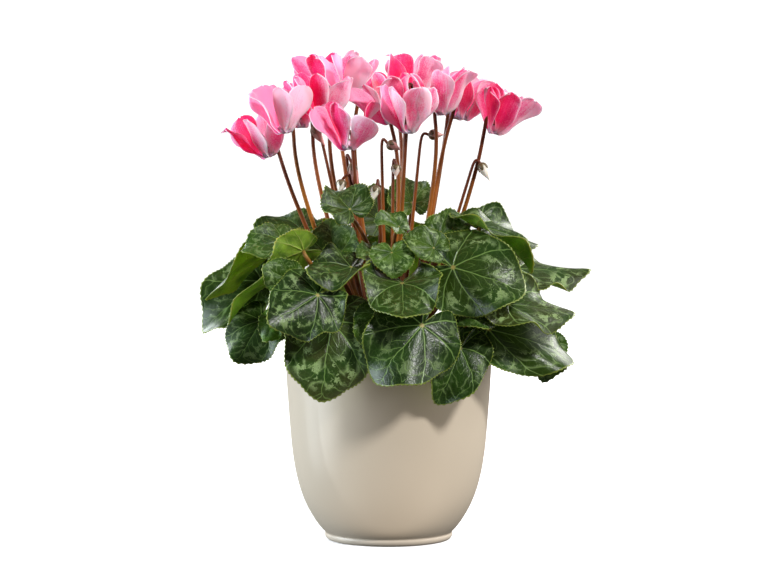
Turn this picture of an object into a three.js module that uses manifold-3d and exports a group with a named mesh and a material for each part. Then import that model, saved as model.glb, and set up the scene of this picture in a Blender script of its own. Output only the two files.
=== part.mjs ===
// A potted cyclamen: marbled heart-shaped leaves and swept-back pink blooms that grow from one tuber,
// in soil that fills a smooth glazed pot. Millimetres, +Z up, origin at the middle of the pot's foot.
import * as THREE from 'three';
import { mergeVertices } from 'three/addons/utils/BufferGeometryUtils.js';
import Module from 'manifold-3d';

// Driving dimensions in millimetres, angles in degrees

const GAP = 0.3;

// Pot: outside radius and height of each step of the wall, from the foot to the rim
const POT_PROFILE = [
  [40.7, 0], [43.9, 4.5], [45.3, 6.8], [50.1, 12.3], [54.8, 20], [59.4, 29.5],
  [63.4, 42.5], [66.5, 60], [68.4, 82.9], [71, 126.4], [70.2, 128],
];
const POT_WALL = 4.6;
const POT_FLOOR = 8;
const POT_SIDES = 32;

const SOIL_TOP = 111;
const SOIL_CROWN = 113;
const SOIL_SIDES = 24;
const SOIL_GAP = 0.42;
const TUBER_GAP = 0.48;

const TUBER_RADIUS = 23;
const TUBER_TOP = 121;
const TUBER_FOOT = 92;
const TUBER_SIDES = 16;
const TUBER_RINGS = 6;
const LIP_WIDTH = 2;

const STALK_RADIUS = 1.35;
const PETIOLE_RADIUS = 1.5;
const STALK_SIDES = 5;
const PETIOLE_SIDES = 4;
const ROOT_DEPTH = 5;
const NECK_LENGTH = 3;
const NECK_SWEEP = 9;

const BLADE_THICKNESS = 0.8;
const BLADE_POINTS = 22;
const INNER_RING = 0.56;
const TOOTH = 0.022;

const PETAL_LENGTH = 34.5;
const PETAL_WIDTH = 20.5;
const PETAL_THICKNESS = 0.8;
const PETAL_TWIST = 32;
const PETAL_CUP = 3;
const TUBE_RADIUS = 3.2;
const TUBE_HEIGHT = 6;
const TUBE_SIDES = 5;
const HOOK_RADIUS = 3.4;
const HOOK_RISE = 1.6;

// Leaves: where the stem meets the blade, the tip, the side that the upper face looks to, the width,
// how far the blade bends down and its halves fold up, and the waves of its margin
const LEAVES = [
  { at: [-38, -72, 156], tip: [-45, -86, 105], face: [-0.15, -1, 0.2], width: 66, bend: 22, fold: -8, wave: 2.5 },
  { at: [22, -87, 155], tip: [-9, -101, 119], face: [0, -1, 0.3], width: 62, bend: 25, fold: -10, wave: 3.4 },
  { at: [48, -66, 138], tip: [33, -80, 102], face: [0.3, -1, 0.2], width: 42, bend: 20, fold: 22, wave: 2.7 },
  { at: [43, -66, 192], tip: [91, -77, 177], face: [-0.05, -1, 0.35], width: 60, bend: 28, fold: -8, wave: 3.4 },
  { at: [-47, -86, 175], tip: [-77, -95, 155], face: [-0.2, -1, 0.3], width: 52, bend: 25, fold: -10, wave: 2 },
  { at: [9, -79, 180], tip: [10, -108, 156], face: [0, -1, 0.8], width: 52, bend: 40, fold: 14, wave: 3.4 },
  { at: [67, -48, 149], tip: [127, -26, 128], face: [0.1, -1, 0.45], width: 54, bend: 25, fold: -8, wave: 4 },
  { at: [80, -60, 167], tip: [121, -38, 157], face: [0.1, -0.7, 0.75], width: 46, bend: 25, fold: 6, wave: 2.7 },
  { at: [88, -24, 188], tip: [130, 5, 178], face: [0.1, -0.6, 0.8], width: 46, bend: 25, fold: -8, wave: 3.4 },
  { at: [-7, -76, 165], tip: [-13, -85, 142], face: [-0.1, -1, 0.3], width: 31, bend: 20, fold: -8, wave: 1.5 },
  { at: [-25, -64, 190], tip: [-52, -86, 181], face: [0.1, -0.45, 1], width: 40, bend: 20, fold: 14, wave: 2.7 },
  { at: [-36, -42, 198], tip: [-40, -31, 225], face: [0.05, -1, 0.5], width: 36, bend: -20, fold: 12, wave: 1.4 },
  { at: [-26, -67, 231], tip: [-40, -58, 244], face: [0, -0.5, 0.9], width: 38, bend: 18, fold: 10, wave: 2 },
  { at: [-57, -62, 203], tip: [-80, -66, 193], face: [0.1, 0.8, 0.6], width: 34, bend: 15, fold: 10, wave: 1.4 },
  { at: [-86, -40, 154], tip: [-101, -48, 126], face: [-0.4, -1, 0.25], width: 46, bend: 20, fold: -8, wave: 2 },
  { at: [-87, 5, 177], tip: [-128, 0, 144], face: [-0.5, -0.8, 0.35], width: 56, bend: 20, fold: 10, wave: 2.7 },
  { at: [-74, -14, 200], tip: [-118, -16, 164], face: [-0.5, 0.35, 0.7], width: 46, bend: 30, fold: 10, wave: 2.7 },
  { at: [-61, 4, 214], tip: [-91, 14, 211], face: [0, -0.5, 0.85], width: 34, bend: 25, fold: 10, wave: 2 },
  { at: [-79, -40, 181], tip: [-110, -42, 154], face: [-0.6, 0.25, 0.75], width: 36, bend: 15, fold: 10, wave: 1.4 },
  { at: [-72, -38, 208], tip: [-98, -46, 200], face: [-0.2, -0.7, 0.7], width: 32, bend: 20, fold: 12, wave: 1.4 },
  { at: [-66, -72, 186], tip: [-84, -76, 195], face: [-0.1, -1, 0.2], width: 26, bend: 15, fold: 8, wave: 1.4 },
  { at: [-76, -60, 157], tip: [-82, -66, 141], face: [-0.3, -0.9, 0.3], width: 20, bend: 10, fold: 8, wave: 1.4 },
  { at: [62, -40, 218], tip: [98, -50, 189], face: [0.6, -0.15, 0.75], width: 42, bend: 25, fold: 14, wave: 2 },
  { at: [64, -12, 214], tip: [94, 12, 200], face: [0.1, -0.6, 0.8], width: 40, bend: 20, fold: 10, wave: 2 },
  { at: [30, -66, 205], tip: [10, -62, 214], face: [0, -0.9, 0.6], width: 24, bend: 18, fold: 10, wave: 1.4 },
  { at: [7, -60, 219], tip: [-9, -60, 225], face: [-0.1, -0.4, 0.9], width: 22, bend: 20, fold: 10, wave: 1.4 },
  { at: [35, -44, 212], tip: [54, -38, 222], face: [0, -0.8, 0.6], width: 30, bend: 20, fold: 10, wave: 1.4 },
  { at: [16, 32, 230], tip: [11, 48, 246], face: [0, -0.8, 0.6], width: 32, bend: 15, fold: 10, wave: 1.4 },
  { at: [-6, 31, 218], tip: [-12, 46, 239], face: [0, -0.8, 0.6], width: 34, bend: 15, fold: 10, wave: 1.4 },
  { at: [2, -68, 200], tip: [4, -76, 184], face: [0.1, -0.8, 0.6], width: 30, bend: 20, fold: 12, wave: 1.4 },
  { at: [52, -58, 172], tip: [60, -76, 150], face: [0.1, -0.9, 0.5], width: 40, bend: 20, fold: -8, wave: 2 },
  { at: [-7, -52, 206], tip: [-18, -58, 202], face: [-0.1, -0.7, 0.8], width: 26, bend: 20, fold: 10, wave: 1.4 },
  { at: [107, -20, 136], tip: [107, -25, 110], face: [0.3, -0.8, 0.3], width: 30, bend: 20, fold: 8, wave: 1.4 },
];

// The side turned from the photograph: rings of leaves that lean out over the rim. Bearing of the
// first leaf and step between leaves in degrees, then how far out and how high stem end and tip are
const BACK_RINGS = [
  { count: 5, bearing: 22, step: 34, reach: 78, height: 163, tipReach: 108, tipHeight: 122, width: 60 },
  { count: 4, bearing: 42, step: 33, reach: 54, height: 201, tipReach: 88, tipHeight: 164, width: 54 },
];

const BLOOMS = [
  { nose: [-81, -15, 264], top: [-89, -15, 290], foot: [-12, -4], flares: [27, 28, 36, 32, 27] },
  { nose: [-70, -40, 281], top: [-72, -40, 313], foot: [-14, -9], flares: [27, 20, 28, 20, 27] },
  { nose: [-59, 10, 283], top: [-60, 12, 317], foot: [-12, 3], flares: [28, 26, 32, 24, 28] },
  { nose: [-46, -25, 289], top: [-45, -25, 326], foot: [-7, -6], flares: [27, 22, 28, 22, 27] },
  { nose: [-42, 50, 304], top: [-46, 52, 333], foot: [-9, 10], flares: [28, 26, 32, 26, 28] },
  { nose: [-27, 15, 302], top: [-22, 15, 332], foot: [-4, 4], flares: [28, 26, 36, 24, 28] },
  { nose: [-27, -60, 271], top: [-29, -62, 305], foot: [-5, -14], flares: [27, 32, 20, 48, 27] },
  { nose: [2, -20, 287], top: [-6, -20, 319], foot: [0, -4], flares: [27, 24, 22, 26, 27] },
  { nose: [13, -68, 282], top: [15, -70, 314], foot: [3, -16], flares: [27, 27, 20, 24, 30] },
  { nose: [16, 30, 301], top: [18, 31, 334], foot: [4, 8], flares: [27, 22, 24, 22, 27] },
  { nose: [36, -35, 293], top: [33, -36, 328], foot: [9, -9], flares: [27, 32, 28, 26, 27] },
  { nose: [50, 5, 289], top: [61, 5, 327], foot: [13, 1], flares: [27, 26, 32, 26, 27] },
  { nose: [71, -25, 280], top: [77, -25, 313], foot: [14, -6], flares: [27, 30, 32, 32, 27] },
  { nose: [46, 40, 288], top: [50, 42, 320], foot: [11, 9], flares: [27, 28, 36, 28, 27] },
  { nose: [7, 65, 292], top: [2, 68, 323], foot: [1, 15], flares: [27, 32, 34, 28, 28] },
];

// Buds: where the stalk bends over, the calyx, the pointed tip, and the foot of the stalk
const BUDS = [
  { bend: [-49, -8, 290], neck: [-52, -9, 284], tip: [-44, -11, 272], foot: [-10, -1] },
  { bend: [-29, -45, 268], neck: [-25, -47, 261], tip: [-21, -50, 241], foot: [-6, -11] },
  { bend: [-26, -50, 254], neck: [-31, -51, 250], tip: [-33, -53, 242], foot: [-3, -12] },
  { bend: [-7, -44, 250], neck: [-8, -48, 246], tip: [-11, -50, 236], foot: [-2, -10] },
  { bend: [-5, -35, 277], neck: [-1, -37, 274], tip: [7, -39, 270], foot: [-1, -7] },
  { bend: [3, -25, 263], neck: [5, -26, 259], tip: [5, -28, 252], foot: [2, -6] },
  { bend: [22, -20, 279], neck: [27, -21, 279], tip: [36, -23, 279], foot: [6, -4] },
  { bend: [58, -25, 262], neck: [62, -26, 260], tip: [68, -28, 249], foot: [13, -8] },
];
const CALYX_RADIUS = 2.9;
const BUD_SIDES = 5;

const wasm = await Module();
wasm.setup();

const radians = THREE.MathUtils.degToRad;
const vector = ([x, y, z]) => new THREE.Vector3(x, y, z);

// Closed mesh to solid, and back

function toSolid(geometry) {
  const bare = geometry.clone();
  bare.deleteAttribute('normal');
  bare.deleteAttribute('uv');
  const merged = mergeVertices(bare, 1e-4);
  return new wasm.Manifold(new wasm.Mesh({
    numProp: 3,
    vertProperties: new Float32Array(merged.attributes.position.array),
    triVerts: new Uint32Array(merged.index.array),
  }));
}

function toGeometry(solid) {
  const mesh = solid.getMesh();
  const geometry = new THREE.BufferGeometry();
  geometry.setAttribute('position', new THREE.BufferAttribute(new Float32Array(mesh.vertProperties), 3));
  geometry.setIndex(new THREE.BufferAttribute(new Uint32Array(mesh.triVerts), 1));
  geometry.computeVertexNormals();
  return geometry;
}

function lathe(profile, sides) {
  const points = profile.map(([radius, height]) => new THREE.Vector2(radius, height));
  const geometry = new THREE.LatheGeometry(points, sides);
  geometry.rotateX(Math.PI / 2);
  return geometry;
}

// Pot, soil and tuber are all turned round the middle

const POT_INSIDE = POT_PROFILE
  .filter(([, height], index) => height > POT_FLOOR && index % 2 === 0)
  .map(([radius, height]) => [radius - POT_WALL, height]);
const POT_INNER_FOOT = [POT_INSIDE[0][0] - 2 * POT_WALL, POT_FLOOR];

function potGeometry() {
  const inside = [...POT_INSIDE].reverse();
  return lathe([[0, 0], ...POT_PROFILE, ...inside, POT_INNER_FOOT, [0, POT_FLOOR]], POT_SIDES);
}

function tuberProfile(grow) {
  const middle = (TUBER_TOP + TUBER_FOOT) / 2;
  const half = (TUBER_TOP - TUBER_FOOT) / 2;
  const profile = [];
  for (let ring = 0; ring <= TUBER_RINGS; ring++) {
    const angle = Math.PI * (ring / TUBER_RINGS - 0.5);
    const radius = ring === 0 || ring === TUBER_RINGS ? 0 : (TUBER_RADIUS + grow) * Math.cos(angle);
    profile.push([radius, middle + (half + grow) * Math.sin(angle)]);
  }
  return profile;
}

// A root starts this far inside the tuber, below its surface at that distance from the middle
function rootPoint(x, y) {
  const share = Math.hypot(x, y) / TUBER_RADIUS;
  const middle = (TUBER_TOP + TUBER_FOOT) / 2;
  const surface = middle + (TUBER_TOP - middle) * Math.sqrt(1 - share * share);
  return new THREE.Vector3(x, y, surface - ROOT_DEPTH);
}

function soilGeometry() {
  const flat = Math.cos(Math.PI / POT_SIDES);
  const wall = POT_INSIDE
    .filter(([, height]) => height < SOIL_TOP)
    .map(([radius, height]) => [radius * flat - SOIL_GAP, height]);
  const bottom = [POT_INNER_FOOT[0] * flat - SOIL_GAP, POT_FLOOR + GAP];
  const edge = [wall[wall.length - 1][0], SOIL_TOP];
  const hole = tuberProfile(TUBER_GAP).filter(([, height]) => height < SOIL_CROWN).reverse();
  const lip = [TUBER_RADIUS + LIP_WIDTH, SOIL_CROWN];
  return lathe([[0, bottom[1]], bottom, ...wall, edge, lip, ...hole], SOIL_SIDES);
}

// Thin sheets: a middle surface gets the same triangles on both faces and a rim between them

function sheet(points, triangles, rim, thickness) {
  const middle = new THREE.BufferGeometry();
  middle.setFromPoints(points);
  middle.setIndex(triangles);
  middle.computeVertexNormals();
  const normals = middle.attributes.normal;
  const count = points.length;
  const positions = [];
  for (const side of [0.5, -0.5]) {
    points.forEach((point, index) => {
      const normal = new THREE.Vector3().fromBufferAttribute(normals, index);
      positions.push(...point.clone().addScaledVector(normal, side * thickness).toArray());
    });
  }
  const faces = [...triangles];
  for (let i = 0; i < triangles.length; i += 3) {
    faces.push(triangles[i] + count, triangles[i + 2] + count, triangles[i + 1] + count);
  }
  rim.forEach((from, index) => {
    const to = rim[(index + 1) % rim.length];
    faces.push(from, from + count, to, to, from + count, to + count);
  });
  const geometry = new THREE.BufferGeometry();
  geometry.setAttribute('position', new THREE.Float32BufferAttribute(positions, 3));
  geometry.setIndex(faces);
  geometry.computeVertexNormals();
  return geometry;
}

// Leaf blade: a heart whose outline is a distance from the stem's end in each direction

function heart(angle) {
  const notch = 1 - 0.85 * Math.exp(-(((Math.PI - Math.abs(angle)) / 0.22) ** 2));
  return (0.6 + 0.12 * Math.cos(angle) + 0.28 * Math.exp(-((angle / 0.45) ** 2))) * notch;
}

// The blade's own directions: along the midrib, across it, and out of the upper face
function bladeAxes(leaf, shift) {
  const at = vector(leaf.at).add(shift);
  const along = vector(leaf.tip).sub(vector(leaf.at));
  const chord = along.length();
  along.normalize();
  const up = vector(leaf.face);
  up.addScaledVector(along, -up.dot(along)).normalize();
  const across = new THREE.Vector3().crossVectors(up, along);
  const bend = radians(leaf.bend);
  const length = chord * (bend / 2) / Math.sin(bend / 2);
  return { at, along, up, across, bend, length };
}

function bladePoint(leaf, axes, angle, share, reach) {
  const { at, along, up, across, bend, length } = axes;
  const run = share * reach * length * Math.cos(angle);
  const aside = share * reach * Math.sin(angle) * leaf.width / 1.2;
  const heading = bend / 2 - bend * run / length;
  const ahead = (length / bend) * (Math.sin(bend / 2) - Math.sin(heading));
  const above = (length / bend) * (Math.cos(heading) - Math.cos(bend / 2));
  const soft = 2;
  const lift = Math.tan(radians(leaf.fold)) * (Math.hypot(aside, soft) - soft)
    + leaf.wave * share * (share * reach / 0.6) ** 2 * Math.sin(5 * angle + leaf.width);
  return at.clone()
    .addScaledVector(along, ahead - lift * Math.sin(heading))
    .addScaledVector(up, above + lift * Math.cos(heading))
    .addScaledVector(across, aside);
}

function bladeGeometry(leaf, shift, thickness) {
  const axes = bladeAxes(leaf, shift);
  const half = BLADE_POINTS / 2;
  const points = [axes.at.clone()];
  for (let i = 0; i < half; i++) {
    const angle = (i / half) * 2 * Math.PI - Math.PI;
    points.push(bladePoint(leaf, axes, angle, INNER_RING, heart(angle)));
  }
  for (let i = 0; i < BLADE_POINTS; i++) {
    const angle = (i / BLADE_POINTS) * 2 * Math.PI - Math.PI;
    const tooth = i % 2 === 0 ? 1 + TOOTH : 1 - TOOTH;
    points.push(bladePoint(leaf, axes, angle, 1, heart(angle) * tooth));
  }
  const triangles = [];
  const rim = [];
  for (let i = 0; i < half; i++) {
    const next = (i + 1) % half;
    const inner = 1 + i;
    const innerNext = 1 + next;
    const outer = 1 + half + 2 * i;
    const outerNext = 1 + half + 2 * next;
    triangles.push(0, inner, innerNext);
    triangles.push(inner, outer, outer + 1);
    triangles.push(inner, outer + 1, innerNext);
    triangles.push(innerNext, outer + 1, outerNext);
    rim.push(outer, outer + 1);
  }
  return sheet(points, triangles, rim, thickness);
}

// Stems: a tube through the given points, with a ring of corners at each

class Route extends THREE.Curve {
  constructor(points) {
    super();
    this.points = points;
  }

  getPoint(t) {
    const place = THREE.MathUtils.clamp(t, 0, 1) * (this.points.length - 1);
    const index = Math.min(Math.floor(place), this.points.length - 2);
    return this.points[index].clone().lerp(this.points[index + 1], place - index);
  }

  getTangent(t) {
    const last = this.points.length - 1;
    const index = Math.round(t * last);
    const before = this.points[Math.max(index - 1, 0)];
    const here = this.points[index];
    const after = this.points[Math.min(index + 1, last)];
    const tangent = here.clone().sub(before).normalize().add(after.clone().sub(here).normalize());
    return tangent.normalize();
  }

  getUtoTmapping(u) {
    return u;
  }
}

function tube(points, radius, sides) {
  const section = new THREE.Shape();
  for (let side = 0; side < sides; side++) {
    const angle = (side / sides) * 2 * Math.PI;
    const x = radius * Math.cos(angle);
    const y = radius * Math.sin(angle);
    if (side === 0) section.moveTo(x, y);
    else section.lineTo(x, y);
  }
  section.closePath();
  return new THREE.ExtrudeGeometry(section, {
    steps: points.length - 1,
    curveSegments: 1,
    bevelEnabled: false,
    extrudePath: new Route(points),
  });
}

// A leaf's stem springs from the tuber, arches out, bowed to one side where another leaf is in its
// way, and comes up square to the blade from below
const BOWS = [[0, 0.45], [0, 0.8], [9, 0.45], [-9, 0.45], [9, 0.8], [-9, 0.8], [18, 0.6], [-18, 0.6]];

function petiolePoints(leaf, shift, [sideways, climb]) {
  const { at, up, along, bend } = bladeAxes(leaf, shift);
  const bearing = Math.atan2(at.y, at.x);
  const rootReach = TUBER_RADIUS * (0.5 + 0.3 * Math.abs(Math.sin(leaf.width + leaf.bend)));
  const root = rootPoint(rootReach * Math.cos(bearing), rootReach * Math.sin(bearing));
  const below = up.clone().multiplyScalar(-Math.cos(bend / 2)).addScaledVector(along, Math.sin(bend / 2));
  const end = at.clone().addScaledVector(below, BLADE_THICKNESS / 2 + GAP + 0.25);
  const neck = end.clone().addScaledVector(below, NECK_LENGTH);
  const rise = Math.max((at.z - root.z) * climb, 14);
  const side = new THREE.Vector3(-Math.sin(bearing), Math.cos(bearing), 0).multiplyScalar(sideways);
  const start = root.clone().add(side).add(new THREE.Vector3(0.12 * at.x, 0.12 * at.y, rise));
  const reach = neck.clone().addScaledVector(below, NECK_SWEEP).addScaledVector(side, 0.6);
  const curve = new THREE.CubicBezierCurve3(root, start, reach, neck);
  return [...[0, 0.45, 1].map((t) => curve.getPoint(t)), end];
}

// Bloom: its axis runs from the mouth up to the stalk's hook, and five petals sweep back round it

function bloomAxes(bloom, shift) {
  const nose = vector(bloom.nose).add(shift);
  const axis = vector(bloom.top).sub(vector(bloom.nose)).normalize();
  const toFoot = new THREE.Vector3(bloom.foot[0] - bloom.nose[0], bloom.foot[1] - bloom.nose[1], 0);
  const stem = toFoot.addScaledVector(axis, -toFoot.dot(axis)).normalize();
  const side = new THREE.Vector3().crossVectors(axis, stem);
  return { nose, axis, stem, side };
}

// The stalk comes in between the first petal and the last
const PETAL_BEARINGS = [73, 131, 187, 243, 300];

// A petal is a narrow claw at its foot, widens into a broad limb past its middle, and is round at the tip
function petalFill(along) {
  const widest = 0.82;
  if (along > widest) return Math.sqrt(Math.max(1 - ((along - widest) / (1 - widest)) ** 2.4, 0));
  return 0.24 + 0.76 * THREE.MathUtils.smoothstep(along, 0.28, widest);
}

function petalPoint(axes, bearing, flare, along, aside) {
  const { nose, axis, stem, side } = axes;
  const out = stem.clone().multiplyScalar(Math.cos(bearing)).addScaledVector(side, Math.sin(bearing));
  const round = new THREE.Vector3().crossVectors(axis, out);
  const length = PETAL_LENGTH;
  const curve = new THREE.CubicBezierCurve(
    new THREE.Vector2(1.8, 1.6),
    new THREE.Vector2(5.6, -2.6),
    new THREE.Vector2(4.2 + 0.42 * length * Math.sin(flare), 0.42 * length * Math.cos(flare)),
    new THREE.Vector2(2.6 + length * Math.sin(flare), length * Math.cos(flare)),
  );
  const place = curve.getPoint(along);
  const heading = curve.getTangent(along);
  const fill = petalFill(along);
  const twist = radians(PETAL_TWIST);
  const width = aside * fill * PETAL_WIDTH / 2;
  const cup = PETAL_CUP * aside * aside * fill ** 2;
  const face = out.clone().multiplyScalar(heading.y).addScaledVector(axis, -heading.x);
  return nose.clone()
    .addScaledVector(out, place.x)
    .addScaledVector(axis, place.y)
    .addScaledVector(round, width * Math.cos(twist) + cup * Math.sin(twist))
    .addScaledVector(face, width * Math.sin(twist) - cup * Math.cos(twist));
}

function petalGeometry(axes, bearing, flare, thickness) {
  const place = (along, aside) => petalPoint(axes, bearing, flare, along, aside);
  const points = [
    place(0, -1), place(0, 1),
    place(0.42, -1), place(0.42, 1),
    place(0.74, -1), place(0.74, 0), place(0.74, 1),
    place(0.94, -1), place(0.94, 0), place(0.94, 1),
    place(1, 0),
  ];
  const triangles = [
    0, 1, 2, 1, 3, 2,
    2, 5, 4, 2, 3, 5, 3, 6, 5,
    4, 5, 7, 5, 8, 7, 5, 6, 8, 6, 9, 8,
    7, 8, 10, 8, 9, 10,
  ];
  const rim = [0, 1, 3, 6, 9, 10, 7, 4, 2];
  return sheet(points, triangles, rim, thickness);
}

function bloomSolid(bloom, shift, thickness) {
  const axes = bloomAxes(bloom, shift);
  const turn = new THREE.Matrix4().makeBasis(axes.stem, axes.side, axes.axis).setPosition(axes.nose);
  const profile = [
    [0, 0], [TUBE_RADIUS - 0.5, 0.2], [TUBE_RADIUS, 2.6], [TUBE_RADIUS - 1.3, TUBE_HEIGHT - 1], [0, TUBE_HEIGHT],
  ];
  let solid = toSolid(lathe(profile, TUBE_SIDES).applyMatrix4(turn));
  PETAL_BEARINGS.forEach((bearing, index) => {
    const flare = radians(bloom.flares[index]);
    solid = solid.add(toSolid(petalGeometry(axes, radians(bearing), flare, thickness)));
  });
  return solid;
}

// A flower's stalk climbs from the tuber, passes between two petals and hooks over into the tube
function stalkPoints(bloom, shift) {
  const { nose, axis, stem } = bloomAxes(bloom, shift);
  const at = (out, up) => nose.clone().addScaledVector(stem, out).addScaledVector(axis, up);
  const foot = rootPoint(...bloom.foot);
  const shoulder = TUBE_HEIGHT + HOOK_RISE;
  const curve = new THREE.CubicBezierCurve3(
    foot,
    foot.clone().lerp(at(2 * HOOK_RADIUS, -8), 0.4),
    at(2 * HOOK_RADIUS, -45),
    at(2 * HOOK_RADIUS, -8),
  );
  const points = [0, 0.35, 0.7, 1].map((t) => curve.getPoint(t));
  for (const angle of [0, 90, 180]) {
    const swing = radians(angle);
    points.push(at(HOOK_RADIUS * (1 + Math.cos(swing)), shoulder + HOOK_RADIUS * Math.sin(swing)));
  }
  points.push(at(0, TUBE_HEIGHT + GAP));
  return points;
}

function budSolid(bud) {
  const bend = vector(bud.bend);
  const neck = vector(bud.neck);
  const tip = vector(bud.tip);
  const foot = rootPoint(...bud.foot);
  const rise = bend.clone().sub(foot);
  const climb = new THREE.CubicBezierCurve3(
    foot,
    foot.clone().addScaledVector(rise, 0.4),
    bend.clone().addScaledVector(rise, -0.25),
    bend,
  );
  const points = [0, 0.3, 0.6, 0.85].map((t) => climb.getPoint(t));
  const top = bend.clone().lerp(neck, 0.4).add(new THREE.Vector3(0, 0, 1.5));
  points.push(bend, top, neck, neck.clone().lerp(tip, 0.3));
  const stalk = toSolid(tube(points, STALK_RADIUS, STALK_SIDES));
  const length = neck.distanceTo(tip);
  const turn = new THREE.Quaternion().setFromUnitVectors(
    new THREE.Vector3(0, 0, 1),
    tip.clone().sub(neck).normalize(),
  );
  const profile = [[0, 0], [CALYX_RADIUS, 0.3 * length], [CALYX_RADIUS * 0.75, 0.6 * length], [0, length]];
  const calyx = lathe(profile, BUD_SIDES).applyQuaternion(turn).translate(...neck.toArray());
  return stalk.add(toSolid(calyx));
}

// Growing: each blade and bloom is moved aside in small steps till it is clear of those before it

function boxOf(solid) {
  const { min, max } = solid.boundingBox();
  return new THREE.Box3(vector(min), vector(max));
}

function body(solid) {
  return { solid, box: boxOf(solid) };
}

function meets(one, other) {
  return one.box.intersectsBox(other.box) && one.solid.intersect(other.solid).volume() > 1e-4;
}

const meetsAny = (one, others) => others.some((other) => meets(one, other));

const SHIFTS = [];
for (let back = -14; back <= 14; back += 2) {
  for (let up = -6; up <= 6; up += 2) {
    for (let right = -6; right <= 6; right += 2) {
      SHIFTS.push(new THREE.Vector3(right, back, up));
    }
  }
}
const effort = (shift) => 0.45 * Math.abs(shift.y) + Math.abs(shift.z) + Math.abs(shift.x);
SHIFTS.sort((one, other) => effort(one) - effort(other));

const potBody = body(toSolid(potGeometry()));
const soilBody = body(toSolid(soilGeometry()));

const stems = [];
const blooms = [];
for (const bloom of BLOOMS) {
  for (const shift of SHIFTS) {
    const roomy = body(bloomSolid(bloom, shift, PETAL_THICKNESS + 2 * GAP));
    if (meetsAny(roomy, blooms) || meetsAny(roomy, stems)) continue;
    const stalk = body(toSolid(tube(stalkPoints(bloom, shift), STALK_RADIUS, STALK_SIDES)));
    if (meetsAny(stalk, blooms)) continue;
    blooms.push({ ...roomy, bloom, shift });
    stems.push(stalk);
    break;
  }
}
for (const bud of BUDS) {
  const solid = body(budSolid(bud));
  if (!meetsAny(solid, blooms)) stems.push(solid);
}

const backLeaves = BACK_RINGS.flatMap((ring) => Array.from({ length: ring.count }, (_, index) => {
  const bearing = radians(ring.bearing + index * ring.step);
  const round = (reach, height) => [reach * Math.cos(bearing), reach * Math.sin(bearing), height];
  const face = [Math.cos(bearing), Math.sin(bearing), ring.tipReach - ring.reach > 40 ? 1.6 : 0.5];
  return {
    at: round(ring.reach, ring.height + 5 * (index % 2)),
    tip: round(ring.tipReach, ring.tipHeight + 6 * (index % 2)),
    face,
    width: ring.width - 5 * (index % 3),
    bend: 24,
    fold: index % 2 ? 8 : -8,
    wave: 2.5,
  };
}));

const blades = [];
const petioles = [];

function growPetiole(leaf, shift) {
  const blade = body(toSolid(bladeGeometry(leaf, shift, BLADE_THICKNESS)));
  for (const bow of BOWS) {
    const petiole = body(toSolid(tube(petiolePoints(leaf, shift, bow), PETIOLE_RADIUS, PETIOLE_SIDES)));
    if (!meetsAny(petiole, [potBody, soilBody, blade, ...blades])) return petiole;
  }
  return null;
}

for (const leaf of [...LEAVES, ...backLeaves]) {
  for (const shift of SHIFTS) {
    const roomy = body(toSolid(bladeGeometry(leaf, shift, BLADE_THICKNESS + 2 * GAP)));
    if (meetsAny(roomy, [potBody, soilBody, ...blades, ...stems, ...petioles, ...blooms])) continue;
    const petiole = growPetiole(leaf, shift);
    if (!petiole) continue;
    blades.push({ ...roomy, leaf, shift });
    petioles.push(petiole);
    break;
  }
}

let crown = toSolid(lathe(tuberProfile(0), TUBER_SIDES));
for (const stem of [...petioles, ...stems]) {
  crown = crown.add(stem.solid);
}

// Finishes and the finished group

const finish = (color, roughness) => new THREE.MeshStandardMaterial({ color, roughness, metalness: 0 });
const model = new THREE.Group();

function place(name, geometry, material) {
  const mesh = new THREE.Mesh(geometry, material);
  mesh.name = name;
  model.add(mesh);
}

const number = (index) => String(index + 1).padStart(2, '0');

place('pot', potGeometry(), finish(0xcfc4b0, 0.35));
place('soil', soilGeometry(), finish(0x3b2d23, 0.95));
place('crown', toGeometry(crown), finish(0x8a5138, 0.6));
blooms.forEach(({ bloom, shift }, index) => {
  place(`bloom_${number(index)}`, toGeometry(bloomSolid(bloom, shift, PETAL_THICKNESS)), finish(0xe8689a, 0.6));
});
blades.forEach(({ leaf, shift }, index) => {
  place(`leaf_${number(index)}`, bladeGeometry(leaf, shift, BLADE_THICKNESS), finish(0x3f5f3c, 0.5));
});

export default model;
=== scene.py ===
import math
import random

import bmesh
import bpy
import numpy as np
from mathutils import Matrix, Vector


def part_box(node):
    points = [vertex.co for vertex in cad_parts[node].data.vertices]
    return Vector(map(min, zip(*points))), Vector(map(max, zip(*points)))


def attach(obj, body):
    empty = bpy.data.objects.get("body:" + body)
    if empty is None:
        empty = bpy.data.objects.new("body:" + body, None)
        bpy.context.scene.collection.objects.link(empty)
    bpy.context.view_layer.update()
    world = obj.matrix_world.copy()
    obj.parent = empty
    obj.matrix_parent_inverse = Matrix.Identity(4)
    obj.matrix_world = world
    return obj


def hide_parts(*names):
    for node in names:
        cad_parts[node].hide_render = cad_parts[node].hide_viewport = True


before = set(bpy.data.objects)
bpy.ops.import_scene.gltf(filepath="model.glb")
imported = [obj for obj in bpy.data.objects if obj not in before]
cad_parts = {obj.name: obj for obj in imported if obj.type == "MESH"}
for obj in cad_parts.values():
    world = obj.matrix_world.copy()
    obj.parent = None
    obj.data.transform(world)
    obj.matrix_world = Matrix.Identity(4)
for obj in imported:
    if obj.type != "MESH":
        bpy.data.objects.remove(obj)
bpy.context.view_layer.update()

# The pot: one piece of slip-cast ceramic under a satin beige glaze. A groove parts the body from its
# foot ring, which stays a paler cream because the glaze is wiped thin there before the firing.
MM = 0.001
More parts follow.
